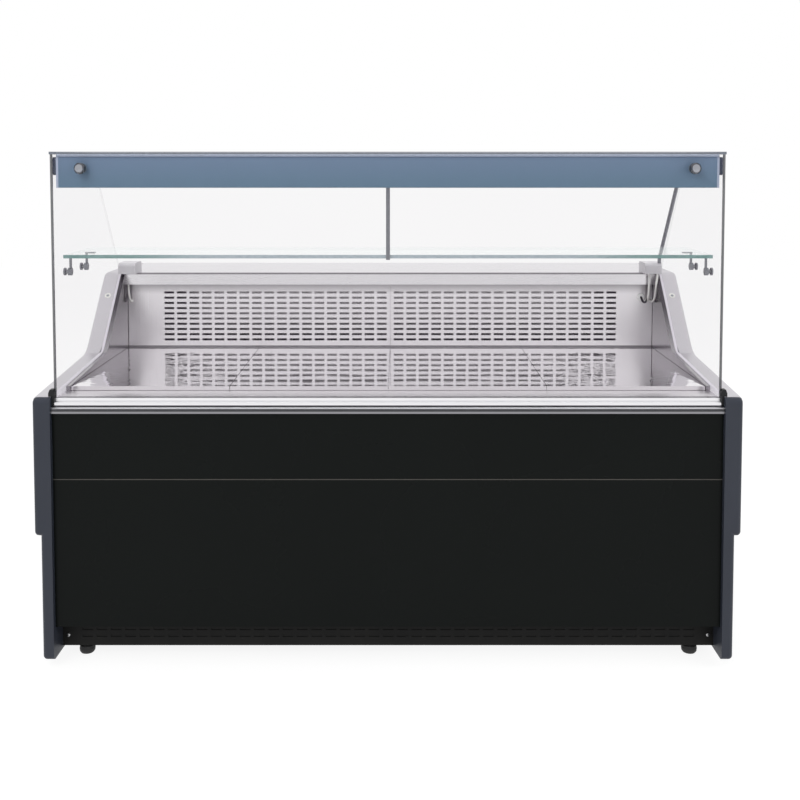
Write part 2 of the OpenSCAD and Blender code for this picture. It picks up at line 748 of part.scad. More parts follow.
// Server's side: painted panel over the tub, louvred cover over the machinery
module rear_panel() {
    color("gainsboro") difference() {
        bar([-hx + fit, hx - fit], [tub_y1, tub_y1 + sheet_t], [tub_z0, nose_z]);
        control_space(fit);
    }
}
module rear_louvres() {
    y0 = rear_base_y + tube_w;
    y1 = y0 + sheet_t;
    pitch = 24;
    span = inner_len / 3 - 90;
    rows = floor((tub_z0 - rail_top - 110) / pitch);
    feet = [for (k = [0 : rows - 1]) rail_top + 60 + k * pitch];
    color("gainsboro") union() {
        difference() {
            bar([-hx + fit, hx - fit], [y0, y1], [rail_top - 20, tub_z0 - 1]);
            for (c = [-1 : 1], z = feet) air_slot(c * inner_len / 3, y0, z, span, 9);
        }
        for (c = [-1 : 1], z = feet)
            along_x(c * inner_len / 3 - span / 2 - 3, c * inner_len / 3 + span / 2 + 3) polygon([
                [y0 + 0.5, z + 6.2], [y1 + 7, z - 1.2], [y1 + 8, z - 0.3], [y1 + 8, z + 1],
                [y1 + 1, z + 8.2],
                [y0 + 0.5, z + 8.2]]);
    }
}
module control_box() {
    color("black") difference() {
        control_space(0);
        for (s = [-1, 1]) bar([key_x(s) - key_w / 2 - fit, key_x(s) + key_w / 2 + fit],
            [ctrl_y - 6, ctrl_y + 1],
            [ctrl_z - key_h / 2 - fit, ctrl_z + key_h / 2 + fit]);
        rod_x(rocker_x - rocker_w / 2 - fit, rocker_x + rocker_w / 2 + fit, rocker_y, ctrl_z,
            rocker_r + fit);
        rod_x(rocker_x - rocker_w / 2 - 3, rocker_x + rocker_w / 2 + 3, rocker_y, ctrl_z, 1.5 + run_fit);
    }
}
function key_x(s) = ctrl_x + 20 + s * 12;
rocker_x = ctrl_x + 62;
module key(s) {
    color("lightgray") bar([key_x(s) - key_w / 2, key_x(s) + key_w / 2], [ctrl_y - 4, ctrl_y + 2],
        [ctrl_z - key_h / 2, ctrl_z + key_h / 2]);
}
module up_key() {
    key(-1);
}
module down_key() {
    key(1);
}
// Rocker with two flats that meet in a shallow ridge
module lamp_rocker() {
    color("green") difference() {
        union() {
            rod_x(rocker_x - rocker_w / 2, rocker_x + rocker_w / 2, rocker_y, ctrl_z, rocker_r);
            rod_x(rocker_x - rocker_w / 2 - 2.5, rocker_x + rocker_w / 2 + 2.5, rocker_y, ctrl_z, 1.5);
        }
        for (s = [-1, 1]) translate([rocker_x, rocker_y + rocker_r - 0.8, ctrl_z]) rotate([s * 14, 0, 0])
            translate([-rocker_w, 0, s > 0 ? -20 : 0]) cube([2 * rocker_w, 10, 20]);
    }
}

// Lamp wiring: a tube up the right glass, then a short cable into the back panel
module lamp_conduit() {
    foot = [side_end_y - 22, worktop_z + glass_block_h];
    low = foot + [0, conduit_r + 7];
    high = [glass_y0 + top_glass_d - 3, top_z - conduit_r - 4];
    end = [canopy_y1, high[1]];
    route = concat([foot], arc(foot, low, high, 12, 3), arc(low, high, end, 12, 4), [end]);
    color("darkgray") swept([for (p = route) [conduit_x, p[0], p[1]]], conduit_r, 16);
}
grommet = [hx - 49, back_y, nose_z - 38];
module lamp_cable() {
    start = [grommet[0] + 14, side_end_y - 6, worktop_z];
    low = grommet[2] - 14;
    color("white") swept([start, start - [0, 0, 12], start - [0, 0, 30],
        [start[0] - 1, start[1] + 1, grommet[2] + 10],
        [start[0] - 3, start[1] + 4, grommet[2] - 4], [start[0] - 7, start[1] + 10, low],
        [start[0] - 11, start[1] + 17, low + 3], [grommet[0] + 1, back_y - 12, grommet[2] - 5],
        grommet - [0, 6, 0], grommet], 3);
}
module cable_grommet() {
    color("white") translate(grommet) rotate([90, 0, 0]) difference() {
        cylinder(h = 5, r1 = 12, r2 = 9);
        translate([0, 0, -1]) cylinder(h = 7, r = 3 + fit);
    }
}

// Tilting front glass in its aluminium channel
module front_glass() {
    color("lightcyan", 0.35) difference() {
        bar([-front_hx, front_hx], [glass_y0, glass_y1], [channel_z0 + channel_wall, top_z - swing_gap]);
        for (s = [-1, 1]) rod_y(s * knob_x, glass_y0 - 1, glass_y1 + 1, knob_z, bush_r);
    }
}
module glass_channel() {
    w0 = glass_y0 - channel_wall;
    w1 = glass_y1 + channel_wall;
    color("lightgray") union() {
        along_x(-front_hx, front_hx) polygon([
            [w0, channel_z0], [w1, channel_z0], [w1, channel_z1], [glass_y1, channel_z1],
            [glass_y1, channel_z0 + channel_wall], [glass_y0, channel_z0 + channel_wall],
            [glass_y0, channel_z1], [w0, channel_z1]]);
        rod_x(-front_hx, front_hx, axis_y, axis_z, bead_r);
        bar([-front_hx, front_hx], [axis_y, w0 + 1], [axis_z - 2, axis_z + 2]);
    }
}
module channel_caps() {
    // the lower front corner is cut back to swing clear of the rail
    swing_r = axis_z - rail_z - rail_h - 0.3;
    color("black") both_sides() union() {
        difference() {
            translate([hx - fit, cap_y1, 0]) rotate([90, 0, 0]) linear_extrude(cap_y1 - cap_y0)
                mirror([1, 0, 0]) half_hexagon(cap_t, 0);
            difference() {
                bar([hx - glass_t - 1, hx], [cap_y0 - 1, axis_y], [cap_z0 - 1, axis_z]);
                rod_x(hx - glass_t - 2, hx + 1, axis_y, axis_z, swing_r);
            }
        }
        rod_x(hx - 1, hx + pin_l - fit, axis_y, axis_z, pivot_r);
    }
}
module knob_bushes() {
    color("white") for (s = [-1, 1]) difference() {
        union() {
            rod_y(s * knob_x, glass_y0 - 1.5, glass_y0, knob_z, bush_r + 4);
            rod_y(s * knob_x, glass_y0 - 1, glass_y1, knob_z, bush_r - fit);
        }
        rod_y(s * knob_x, glass_y0 - 3, glass_y1 + 1, knob_z, stud_r + run_fit);
    }
}
module knob(s) {
    color("silver") translate([s * knob_x, glass_y0 - 1.5 - fit, knob_z]) rotate([90, 0, 0]) union() {
        rotate_extrude() polygon([[0, 0], [knob_r * 0.7, 0], [knob_r * 0.7, 3], [knob_r, 6], [knob_r, 13],
            [knob_r * 0.86, 16], [knob_r * 0.5, 17.5], [0, 18]]);
        translate([0, 0, -glass_t - 1.5 - fit - swing_gap - stud_reach])
            cylinder(h = glass_t + 2 + fit + swing_gap + stud_reach, r = stud_r);
    }
}
module left_knob() {
    knob(-1);
}
module right_knob() {
    knob(1);
}

// Levelling foot: moulded bulb, jam nut and threaded stem
module foot(x, y) {
    color("black") translate([x, y + tube_w / 2, 0]) union() {
        rotate_extrude() polygon([[0, 0], [foot_r * 0.8, 0], [foot_r * 0.96, 4], [foot_r, 10],
            [foot_r * 0.94, 17],
            [foot_r * 0.6, 24], [foot_r * 0.5, foot_h - 8], [0, foot_h - 8]]);
        translate([0, 0, foot_h - 8]) cylinder(h = 8 - fit, r = stem_r + 5, $fn = 6);
        translate([0, 0, 10]) cylinder(h = foot_h + tube_w - 20, r = stem_r);
    }
}

left_end_panel();
right_end_panel();
insulated_tub();
tub_liner();
inner_end_walls();
upper_front_panel();
lower_front_panel();
kick_plate();
front_rail();
front_ledge();
pivot_bushes();
side_glasses();
top_glass();
lamp_canopy();
canopy_blocks();
led_bar();
shelf_glass();
shelf_brackets();
shelf_hanger();
worktop();
glass_blocks();
back_panels();
deck_bar();
fan_plate();
fan_motors();
left_fan();
right_fan();
evaporator();
base_legs();
base_rails();
base_crossbars();
unit_plate();
compressor();
condenser();
condenser_motor();
condenser_fan();
drain_pipe();
rear_panel();
rear_louvres();
control_box();
up_key();
down_key();
lamp_rocker();
lamp_conduit();
lamp_cable();
cable_grommet();
front_glass();
glass_channel();
channel_caps();
knob_bushes();
left_knob();
right_knob();
deck_tray(0);  // deck_tray_1
deck_tray(1);  // deck_tray_2
deck_tray(2);  // deck_tray_3
deck_tray(3);  // deck_tray_4
foot(-foot_x, front_base_y);  // front_left_foot
foot(foot_x, front_base_y);  // front_right_foot
foot(-foot_x, rear_base_y);  // rear_left_foot
foot(foot_x, rear_base_y);  // rear_right_foot
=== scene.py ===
import bpy, math
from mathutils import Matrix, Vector


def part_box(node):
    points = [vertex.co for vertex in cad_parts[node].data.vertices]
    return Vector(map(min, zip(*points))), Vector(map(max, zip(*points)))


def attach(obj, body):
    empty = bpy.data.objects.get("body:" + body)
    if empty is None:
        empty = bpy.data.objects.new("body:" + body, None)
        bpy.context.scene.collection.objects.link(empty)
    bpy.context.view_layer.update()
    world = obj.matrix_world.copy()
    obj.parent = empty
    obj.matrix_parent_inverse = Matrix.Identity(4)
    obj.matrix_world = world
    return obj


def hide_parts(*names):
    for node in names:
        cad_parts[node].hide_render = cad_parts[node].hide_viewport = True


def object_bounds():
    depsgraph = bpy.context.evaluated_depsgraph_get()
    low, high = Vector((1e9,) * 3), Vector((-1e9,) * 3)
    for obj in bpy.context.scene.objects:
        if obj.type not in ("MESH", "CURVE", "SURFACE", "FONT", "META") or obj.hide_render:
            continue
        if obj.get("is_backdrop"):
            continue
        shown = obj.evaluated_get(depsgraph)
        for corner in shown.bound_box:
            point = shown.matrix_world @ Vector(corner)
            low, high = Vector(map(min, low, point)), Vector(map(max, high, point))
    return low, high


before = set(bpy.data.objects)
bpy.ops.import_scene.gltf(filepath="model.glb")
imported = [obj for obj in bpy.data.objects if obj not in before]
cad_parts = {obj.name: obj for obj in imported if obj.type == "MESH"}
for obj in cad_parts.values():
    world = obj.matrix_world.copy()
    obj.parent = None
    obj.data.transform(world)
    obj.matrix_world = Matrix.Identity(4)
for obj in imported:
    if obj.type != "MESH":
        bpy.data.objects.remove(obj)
cad_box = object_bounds()

# Camera and studio. The camera stands on the customer's side, just above the top glass, and looks a little
# down. The floor and the world are plain white to the camera, to metal and to glass. Soft lamps hang round
# the case, and its metal does not mirror them.
lens = bpy.data.cameras.new("camera")
lens.lens, lens.sensor_width, lens.shift_y = 47.84, 36.0, -0.22
camera = bpy.data.objects.new("camera", lens)
bpy.context.collection.objects.link(camera)
look_down = 3.23
camera.location = (0.0273, -2.781, 1.1328)
camera.rotation_euler = (math.radians(90 - look_down), 0, 0)
scene = bpy.context.scene
scene.camera = camera
scene.view_settings.view_transform = "Standard"


class Wire:
    """An output socket of a node tree. Sums and products of wires add Math nodes."""

    def __init__(self, tree, socket=None):
        self.tree, self.socket = tree, socket

    def feed(self, node, **values):
        """Sets inputs of a node, by name or as i0, i1 and so on, to wires or to fixed values."""
        for key, value in values.items():
            socket = node.inputs[int(key[1:])] if key[1:].isdigit() else node.inputs[key.replace("_", " ")]
            if isinstance(value, Wire):
                self.tree.links.new(value.socket, socket)
            else:
                socket.default_value = value

    def node(self, kind, settings=None, out=0, **values):
        """A wire from one output of a new node of any kind."""
        node = self.tree.nodes.new("ShaderNode" + kind)
        for key, value in (settings or {}).items():
            setattr(node, key, value)
        self.feed(node, **values)
        return Wire(self.tree, node.outputs[out])

    def math(self, operation, a, b=0.0):
        return self.node("Math", {"operation": operation}, i0=a, i1=b)

    def __add__(self, other):
        return self.math("ADD", self, other)

    def __sub__(self, other):
        return self.math("SUBTRACT", self, other)

    def __rsub__(self, other):
        return self.math("SUBTRACT", other, self)

    def __mul__(self, other):
        return self.math("MULTIPLY", self, other)

    def __gt__(self, other):
        return self.math("GREATER_THAN", self, other)

    def __lt__(self, other):
        return self.math("LESS_THAN", self, other)

    def __abs__(self):
        return self.math("ABSOLUTE", self)

    __radd__, __rmul__ = __add__, __mul__

    def mix(self, a, b):
        return self.node("Mix", {"data_type": "RGBA"}, out=2, i0=self, i6=a, i7=b)


def seen(wire):
    """One for what the camera sees, straight, off metal or through glass, and zero for light on the case."""
    straight = wire.node("LightPath", out="Is Camera Ray")
    off_metal = wire.node("LightPath", out="Is Glossy Ray")
    through_glass = wire.node("LightPath", out="Is Transmission Ray")
    return wire.math("MINIMUM", straight + off_metal + through_glass, 1.0)


white = (1, 1, 1, 1)
world = bpy.data.worlds.new("studio")
scene.world = world
world.use_nodes = True
sky = Wire(world.node_tree)
sky.feed(sky.tree.nodes["Background"], Color=white, Strength=0.7 + seen(sky) * 0.3)

floor_mat = bpy.data.materials.new("studio_floor")
floor_mat.use_nodes = True
ground = Wire(floor_mat.node_tree)
matt = ground.tree.nodes["Principled BSDF"]
ground.feed(matt, Base_Color=(0.85, 0.85, 0.85, 1), Roughness=0.9, Specular_IOR_Level=0.0)
glow = ground.node("Emission", Color=white, Strength=1.1)
shown = ground.node("MixShader", i0=seen(ground) * 0.8, i1=Wire(ground.tree, matt.outputs[0]), i2=glow)
ground.feed(ground.tree.nodes["Material Output"], Surface=shown)
bpy.ops.mesh.primitive_plane_add(size=14, location=(0, 2.0, -0.0005))
floor = bpy.context.object
floor.name = "studio_floor"
floor.data.materials.append(floor_mat)
floor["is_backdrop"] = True

for name, place, aim, size, power in (
        ("key_lamp", (-1.6, -3.0, 3.2), (0, 0, 0.7), 2.4, 60),
        ("side_lamp", (3.2, -1.2, 2.2), (0, 0, 0.6), 2.0, 34),
        ("top_lamp", (0.0, 0.6, 3.4), (0, 0, 0.6), 2.6, 46)):
    light = bpy.data.lights.new(name, "AREA")
    light.size, light.energy = size, power
    lamp = bpy.data.objects.new(name, light)
    bpy.context.collection.objects.link(lamp)
    lamp.location = place
    lamp.rotation_euler = (Vector(aim) - Vector(place)).to_track_quat("-Z", "Y").to_euler()
    lamp.visible_glossy = False

# Base frame, of welded square tube painted satin black, with a hot-dip galvanised machine plate on top.
# The posts stand on the rails and carry the tub. The paint is scuffed near the floor, and the zinc shows grey
# patches.


def srgb(red, green, blue):
    """A colour as it looks on a screen, 0 to 255, turned into light."""
    parts = [c / 255 for c in (red, green, blue)]
    return tuple(c / 12.92 if c <= 0.04 else ((c + 0.055) / 1.055) ** 2.4 for c in parts) + (1,)


def finish(name, **fixed):
    """A material with its Principled shader set to the fixed values, and a wire into its nodes."""
    material = bpy.data.materials.new(name)
    material.use_nodes = True
    wire = Wire(material.node_tree)
    wire.shader = material.node_tree.nodes["Principled BSDF"]
    wire.feed(wire.shader, **fixed)
    wire.place = wire.node("TexCoord", out="Object")
    return material, wire


def noise(wire, scale, detail, **values):
    """An even cloudy pattern over the whole piece, finer with a larger scale."""
    return wire.node("TexNoise", Vector=wire.place, Scale=scale, Detail=detail, **values)


def coordinate(wire, axis):
    """Where a point lies along one axis of the case, in metres."""
    return wire.node("SeparateXYZ", out=axis, Vector=wire.place)


def rise(wire, value, start, end, most=1.0):
    """Grows evenly from zero at the start to its most at the end."""
    return wire.node("MapRange", Value=value, i1=start, i2=end, i3=0.0, i4=most)


def mottle(wire, pattern, dark, light, rough, spread):
    """Lets the colour, from dark to light, and the roughness follow one pattern."""
    colour = pattern.mix(srgb(*dark), srgb(*light))
    wire.feed(wire.shader, Base_Color=colour, Roughness=rough + pattern * spread)


def bump(wire, height, strength, distance):
    wire.feed(wire.shader, Normal=wire.node("Bump", Strength=strength, Distance=distance, Height=height))


def dress(material, *nodes):
    for node in nodes:
        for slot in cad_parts[node].material_slots:
            slot.material = material


satin_black, w = finish("satin_black_paint", Specular_IOR_Level=0.14)
speck = noise(w, 700.0, 3.0)
near_floor = rise(w, coordinate(w, "Z"), start=0.12, end=0.02)
scuff = noise(w, 22.0, 7.0) * near_floor
w.feed(w.shader, Base_Color=(scuff * 0.4).mix(srgb(16, 17, 17), srgb(54, 52, 50)),
       Roughness=0.42 + speck * 0.16)
bump(w, speck, 0.1, 0.0003)
dress(satin_black, "base_legs", "base_rails", "base_crossbars")
zinc, w = finish("galvanised_steel", Metallic=1.0)
patch = w.node("TexVoronoi", out="Color", Vector=w.place, Scale=55.0)
shade = w.node("RGBToBW", Color=patch)
mottle(w, shade, (150, 154, 158), (182, 186, 190), 0.42, 0.2)
bump(w, noise(w, 160.0, 4.0), 0.08, 0.001)
dress(zinc, "unit_plate")

# Levelling feet, black moulded nylon bulbs on threaded zinc stems, screwed up into the rails.
# The nylon has a faint pebble from its mould and a dusty foot.
nylon, w = finish("black_nylon")
grain = noise(w, 900.0, 3.0)
dust = rise(w, coordinate(w, "Z"), start=0.012, end=0.0)
w.feed(w.shader, Base_Color=(dust * 0.5).mix(srgb(22, 22, 23), srgb(64, 62, 60)),
       Roughness=0.5 + grain * 0.25)
bump(w, grain, 0.15, 0.0004)
dress(nylon, "front_left_foot", "front_right_foot", "rear_left_foot", "rear_right_foot")

# Refrigeration machinery on the plate: an enamelled compressor, rolled aluminium fins, painted motors and
# moulded fans. The compressor's enamel has a little orange peel; the fins are bare and slightly dulled.
enamel, w = finish("black_enamel", Specular_IOR_Level=0.4)
peel = noise(w, 260.0, 2.0)
mottle(w, peel, (16, 16, 17), (26, 26, 27), 0.22, 0.15)
bump(w, peel, 0.12, 0.0006)
dress(enamel, "compressor")


def streaks(wire, stretch, **values):
    """Noise squeezed along each axis by a number, so it is drawn out where that number is small."""
    squeezed = wire.node("VectorMath", {"operation": "MULTIPLY"}, i0=wire.place, i1=stretch)
    return wire.node("TexNoise", Vector=squeezed, Scale=1.0, **values)


fins, w = finish("rolled_fins", Metallic=1.0)
dull = noise(w, 18.0, 5.0)
mottle(w, dull, (176, 178, 180), (206, 207, 208), 0.3, 0.25)
bump(w, streaks(w, (600, 60, 20), Detail=2.0), 0.1, 0.0005)
dress(fins, "evaporator", "condenser")
motor, w = finish("motor_paint")
speck = noise(w, 420.0, 3.0)
mottle(w, speck, (96, 99, 102), (112, 115, 118), 0.45, 0.2)
bump(w, speck, 0.1, 0.0004)
dress(motor, "fan_motors", "condenser_motor")
dress(nylon, "left_fan", "right_fan", "condenser_fan")

# Tub, a foamed trough with a white painted steel skin outside, and its drain spigot of white plastic.
# The paint has the light orange peel of powder coat.
powder, w = finish("white_powder_coat", Specular_IOR_Level=0.35)
peel = noise(w, 320.0, 2.0)
soil = noise(w, 5.0, 6.0)
w.feed(w.shader, Base_Color=soil.mix(srgb(214, 216, 217), srgb(226, 227, 227)), Roughness=0.38 + peel * 0.18)
bump(w, peel, 0.12, 0.0006)
dress(powder, "insulated_tub", "rear_panel", "rear_louvres")
white_plastic, w = finish("white_plastic")
cloud = noise(w, 60.0, 3.0)
mottle(w, cloud, (224, 223, 219), (236, 235, 231), 0.3, 0.12)
bump(w, cloud, 0.05, 0.0004)
dress(white_plastic, "drain_pipe")

# Stainless lining, inner end walls, front ledge, deck bar, fan plate, back panels and worktop.
# Folded from brushed sheet: the grain is long fine streaks along the piece, broken by faint wipe marks.
# The back panels have a painted shade under the worktop's nose; along the nose's fold a painted reflection
# shows as a dark line.


def brushed_steel(name, stretch, dark, light, rough):
    """Brushed sheet, its grain squeezed by the stretch. The wire carries the sheet's colour as its tint."""
    material, wire = finish(name, Metallic=1.0)
    grain = streaks(wire, stretch, Detail=5.0, Roughness=0.65)
    wipe = noise(wire, 4.0, 4.0, Distortion=0.6)
    wire.tint = (grain * 0.55 + wipe * 0.45).mix(srgb(*dark), srgb(*light))
    wire.feed(wire.shader, Base_Color=wire.tint, Roughness=rough - 0.08 + grain * 0.1 + wipe * 0.06)
    bump(wire, grain, 0.06, 0.0004)
    return material, wire


grain_x, grain_y, grain_z = (3, 900, 900), (900, 4, 900), (900, 900, 4)
steel_x, w = brushed_steel("brushed_steel_along", grain_x, (206, 203, 206), (234, 231, 234), 0.3)
dress(steel_x, "tub_liner", "front_ledge", "deck_bar", "fan_plate")
steel_z, w = brushed_steel("brushed_steel_upright", grain_z, (220, 217, 220), (248, 245, 248), 0.3)
# Painted shade: the back panels darken towards the worktop's nose, where its shadow falls.
painted_nose_shade = rise(w, coordinate(w, "Z"), start=0.770, end=0.799, most=0.7)
w.feed(w.shader, Base_Color=painted_nose_shade.mix(w.tint, srgb(98, 96, 100)))
dress(steel_z, "back_panels")
# Painted shade: the inner end walls are a darker stainless than the rest of the lining, for the shade they
# stand in.
steel_wall, w = brushed_steel("brushed_steel_walls", grain_z, (138, 136, 139), (180, 177, 181), 0.2)
# Painted shade: towards their top the walls darken further, for the shade in the rear corners under the
# worktop.
corner = rise(w, coordinate(w, "Z"), start=0.655, end=0.75, most=0.9)
w.feed(w.shader, Base_Color=corner.mix(w.tint, srgb(64, 62, 66)))
dress(steel_wall, "inner_end_walls")
steel_top, w = brushed_steel("brushed_steel_worktop", grain_x, (218, 216, 219), (237, 235, 238), 0.28)
# Painted reflection: a dark line along the top of the nose's fold stands for a dark reflection in its rounded
# corner.
crease_d, crease_h = 0.005, 0.0045
top_low, top_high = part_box("worktop")
painted_fold_reflection = coordinate(w, "Y") < top_low[1] + crease_d
painted_fold_reflection = painted_fold_reflection * (coordinate(w, "Z") > top_high[2] - crease_h)
w.feed(w.shader, Base_Color=(painted_fold_reflection * 0.85).mix(w.tint, srgb(120, 117, 121)))
dress(steel_top, "worktop")

# End panels, moulded in anthracite plastic with a rolled outer edge and a fine leathery grain.
# A stainless capping lies along the top edge of each, held by a screw under a white cap.
anthracite, w = finish("anthracite_moulding", Specular_IOR_Level=0.34)
grain = w.node("TexVoronoi", Vector=w.place, Scale=620.0)
drift = noise(w, 7.0, 5.0)
mottle(w, drift, (38, 42, 52), (49, 53, 63), 0.36, 0.14)
bump(w, grain, 0.18, 0.0004)
dress(anthracite, "left_end_panel", "right_end_panel")


def piece(name, points, faces, material, slot, body="case", smooth=False, bevel=0.0):
    """A mesh piece that rides on a body, with its edges broken by a small bevel where asked."""
    mesh = bpy.data.meshes.new(name)
    mesh.from_pydata([tuple(p) for p in points], [], faces)
    mesh.validate()
    made = bpy.data.objects.new(name, mesh)
    bpy.context.collection.objects.link(made)
    mesh.materials.append(material)
    if smooth:
        mesh.polygons.foreach_set("use_smooth", [True] * len(mesh.polygons))
    if bevel:
        rounding = made.modifiers.new("edges", "BEVEL")
        rounding.width, rounding.segments, rounding.limit_method = bevel, 2, "ANGLE"
    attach(made, body)
    return made


def strip(sections):
    """Skin over a row of like closed sections, capped at both ends."""
    n = len(sections[0])
    points = [p for s in sections for p in s]
    faces = [[k * n + i, k * n + (i + 1) % n, (k + 1) * n + (i + 1) % n, (k + 1) * n + i]
             for k in range(len(sections) - 1) for i in range(n)]
    return points, faces + [list(range(n))[::-1], [len(points) - n + i for i in range(n)]]


def drawn(section, *ends):
    """A straight length with one section, given as (y, z) points, between two places along x."""
    return strip([[(x, y, z) for y, z in section] for x in ends])


def turned(profile, centre, axis, sides=40):
    """A form turned on an axis from (radius, distance along it) pairs."""
    axis = Vector(axis).normalized()
    across = axis.orthogonal().normalized()
    side = axis.cross(across)
    angles = [2 * math.pi * k / sides for k in range(sides)]
    return strip([[Vector(centre) + axis * d + (across * math.cos(a) + side * math.sin(a)) * max(r, 1e-5)
                   for a in angles] for r, d in profile])


def arc(centre, radius, degrees):
    """Points of an arc about a centre, at angles from straight up."""
    angles = [math.radians(d) for d in degrees]
    return [(centre[0] + radius * math.sin(a), centre[1] + radius * math.cos(a)) for a in angles]


end_low, end_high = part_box("right_end_panel")
front_corner, knee, shoulder = (end_low[1], 0.614), (end_low[1] + 0.408, 0.644), (0.148, end_high[2])
knee_centre, knee_r, knee_turns = (-0.0786, 0.7265), 0.0849, (177.6, 166.0, 154.4, 143.4, 129.4)
shoulder_r, shoulder_turns = 0.03, (-44.7, -29.8, -14.9, 0.0)
contour = [(end_low[1] + 0.0105, 0.6142), (end_low[1] + 0.02, 0.6156)]
contour += arc(knee_centre, knee_r, knee_turns)
contour += arc((0.1603, end_high[2] - shoulder_r), shoulder_r, shoulder_turns)
contour += [(end_high[1] - 0.02, end_high[2])]
roll, under, over = 0.009, 0.0002, 0.0009
inner_x, roll_centre = end_low[0] + 0.0003, (end_high[0] - roll, -roll)
roll_turns = (0, 15, 30, 45, 58)
fold = [(inner_x, under)]
fold += arc(roll_centre, roll + under, roll_turns)
fold += arc(roll_centre, roll + over, roll_turns[::-1])
fold += [(inner_x, over)]
steel_cap, w = brushed_steel("brushed_steel_capping", grain_y, (192, 190, 194), (218, 215, 220), 0.34)
for side, name in ((-1, "left_capping"), (1, "right_capping")):
    rows = []
    for i, (y, z) in enumerate(contour):
        before, after = contour[max(i - 1, 0)], contour[min(i + 1, len(contour) - 1)]
        run = Vector((after[0] - before[0], after[1] - before[1])).normalized()
        up = Vector((-run.y, run.x))
        rows.append([(side * x, y + up.x * t, z + up.y * t) for x, t in fold])
    piece(name, *strip(rows), steel_cap, "stainless")
cap_profile = ((0.0, -0.0015), (0.0085, -0.0015), (0.0085, 0.001), (0.0075, 0.002), (0.0045, 0.0022),
               (0.0038, 0.0012), (0.0, 0.001))
screw_profile = ((0.0, 0.0008), (0.0038, 0.0008), (0.0038, 0.0016), (0.003, 0.0021), (0.0, 0.0022))
slope_run = (Vector(shoulder) - Vector(knee)).normalized()
off_slope = (0, -slope_run.y, slope_run.x)
cap_x, cap_y = 0.766, 0.0906
cap_z = shoulder[1] + (cap_y - shoulder[0]) * slope_run.y / slope_run.x + under
for side, name in ((-1, "left_screw_cap"), (1, "right_screw_cap")):
    seat = (side * cap_x, cap_y, cap_z)
    piece(name, *turned(cap_profile, seat, off_slope), white_plastic, "white_plastic", smooth=True)
    piece(name + "_screw", *turned(screw_profile, seat, off_slope), zinc, "galvanised", smooth=True)

# Front panels, folded black sheet with a deep gloss, and the slotted kick plate below them in satin black.
# The seam between the panels shows a rubbed lip, and two pan-head screws hold the kick plate to the base.
gloss_black, w = finish("gloss_black_sheet", Specular_IOR_Level=0.09)
haze = noise(w, 3.0, 6.0, Distortion=0.4)
peel = noise(w, 240.0, 2.0)
mottle(w, haze, (10, 13, 12), (15, 18, 17), 0.2, 0.14)
bump(w, peel, 0.05, 0.0004)
dress(gloss_black, "upper_front_panel", "lower_front_panel")
edge_wear, w = finish("rubbed_edge", Specular_IOR_Level=0.3)
rub = noise(w, 35.0, 5.0)
mottle(w, rub, (62, 60, 57), (84, 81, 77), 0.4, 0.2)
front_low, front_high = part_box("lower_front_panel")
lip = [(front_low[1] + d, front_high[2] + h) for d, h in (
    (0.0002, -0.0012), (-0.0004, -0.0008), (-0.0004, 0.0006), (0.0002, 0.0009),
    (0.006, 0.0009), (0.006, 0.0002), (0.0002, 0.0002))]
piece("seam_lip", *drawn(lip, front_low[0], front_high[0]), edge_wear, "black_sheet")
dress(satin_black, "kick_plate")
bright, w = finish("bright_zinc", Metallic=1.0)
rub = noise(w, 500.0, 3.0)
mottle(w, rub, (166, 166, 168), (192, 192, 194), 0.16, 0.14)
bump(w, rub, 0.05, 0.0002)
to_customer = (0, -1, 0)


def pan_head(name, x, y, z, r):
    """A pan head facing the customer, with a crossed recess laid into its crown."""
    crown = ((0.0, 0.0002), (r, 0.0002), (r, r * 0.16), (r * 0.93, r * 0.36), (r * 0.72, r * 0.52),
             (r * 0.4, r * 0.6), (0.0, r * 0.62))
    piece(name, *turned(crown, (x, y, z), to_customer), bright, "chrome_fittings", smooth=True)
    for turn, part in ((20, "a"), (110, "b")):
        c, s = math.cos(math.radians(turn)), math.sin(math.radians(turn))
        long, wide = r * 0.5, r * 0.1
        ring = [(x + a * long * c - b * wide * s, z + a * long * s + b * wide * c)
                for a, b in ((-1, -1), (1, -1), (1, 1), (-1, 1))]
        rows = [[(px, y - r * d, pz) for px, pz in ring] for d in (0.5, 0.635)]
        piece(name + "_recess_" + part, *strip(rows), satin_black, "black_kick")


screw_x, screw_z, screw_r = 0.737, 0.049, 0.0043
kick_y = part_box("kick_plate")[0][1]
pan_head("left_kick_screw", -screw_x, kick_y, screw_z, screw_r)
pan_head("right_kick_screw", screw_x, kick_y, screw_z, screw_r)

# Front rail, drawn and anodised aluminium with a dark rubber strip pressed into its groove.
# The front glass's foot channel above it is drawn from the same metal, and the draw lines run along both.
rail_low, rail_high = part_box("front_rail")
rail_y, rail_z, rail_h = rail_low[1], rail_low[2], rail_high[2] - rail_low[2]
draw_x = (1.5, 1400, 1400)
anodised, w = finish("anodised_aluminium", Metallic=1.0)
draw = streaks(w, draw_x, Detail=4.0)
# Painted shade: the lower half of the rail is darker, for the shade it lies in under the glass channel.
painted_shade_lower = coordinate(w, "Z") < rail_z + rail_h * 0.5
upper_lip = draw.mix(srgb(196, 196, 200), srgb(220, 219, 223))
painted_shade_lip = draw.mix(srgb(134, 134, 138), srgb(158, 157, 161))
w.feed(w.shader, Base_Color=painted_shade_lower.mix(upper_lip, painted_shade_lip), Roughness=0.28 + draw * 0.14)
bump(w, draw, 0.05, 0.0003)
dress(anodised, "front_rail")
bead, w = finish("anodised_bead", Metallic=1.0)
draw = streaks(w, draw_x, Detail=4.0)
mottle(w, draw, (228, 227, 230), (249, 248, 250), 0.24, 0.14)
bump(w, draw, 0.05, 0.0003)
dress(bead, "glass_channel")
rubber, w = finish("black_rubber", Specular_IOR_Level=0.25)
bloom = noise(w, 120.0, 4.0)
mottle(w, bloom, (56, 56, 59), (78, 78, 82), 0.55, 0.2)
